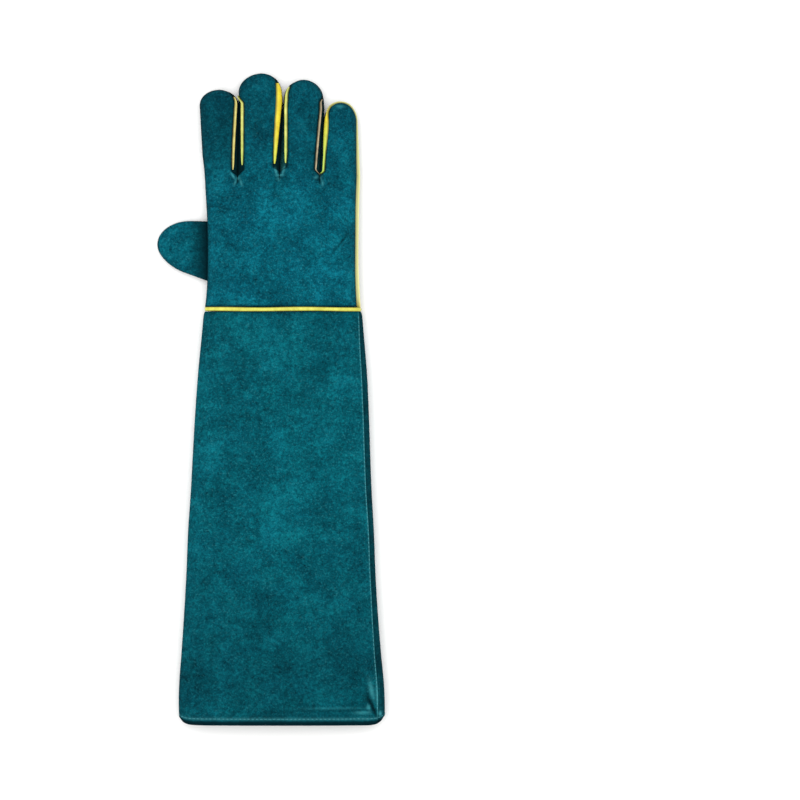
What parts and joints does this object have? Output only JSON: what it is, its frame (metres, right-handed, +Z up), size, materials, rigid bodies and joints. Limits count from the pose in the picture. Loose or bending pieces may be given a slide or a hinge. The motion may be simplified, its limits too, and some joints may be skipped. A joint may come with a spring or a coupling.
{
  "type": "animal handling glove",
  "caption": "Long suede handling glove for the right hand, lying palm down, with piped finger seams, a set-in thumb and a flared gauntlet cuff.",
  "frame": {"origin": "middle of the glove's footprint, on the surface that it lies on", "axes": "+Y along the glove from the cuff's mouth to the fingertips, +Z up out of the back of the hand, and -X towards the thumb"},
  "size_m": [0.2098, 0.599, 0.031],
  "materials": {
    "suede": "teal split suede, brushed nap, mottled dye",
    "side_suede": "darker side of the same suede",
    "piping": "smooth yellow welt"
  },
  "bodies": {
    "root": {"hand_back": "suede", "palm": "suede", "thumb": "suede", "cuff": "suede", "fourchette_index_middle": "side_suede", "fourchette_middle_ring": "side_suede", "fourchette_ring_little": "side_suede", "piping_index": "piping", "piping_middle_left": "piping", "piping_middle_right": "piping", "piping_ring_left": "piping", "piping_ring_right": "piping", "piping_side": "piping", "piping_wrist": "piping"}
  },
  "joints": []
}
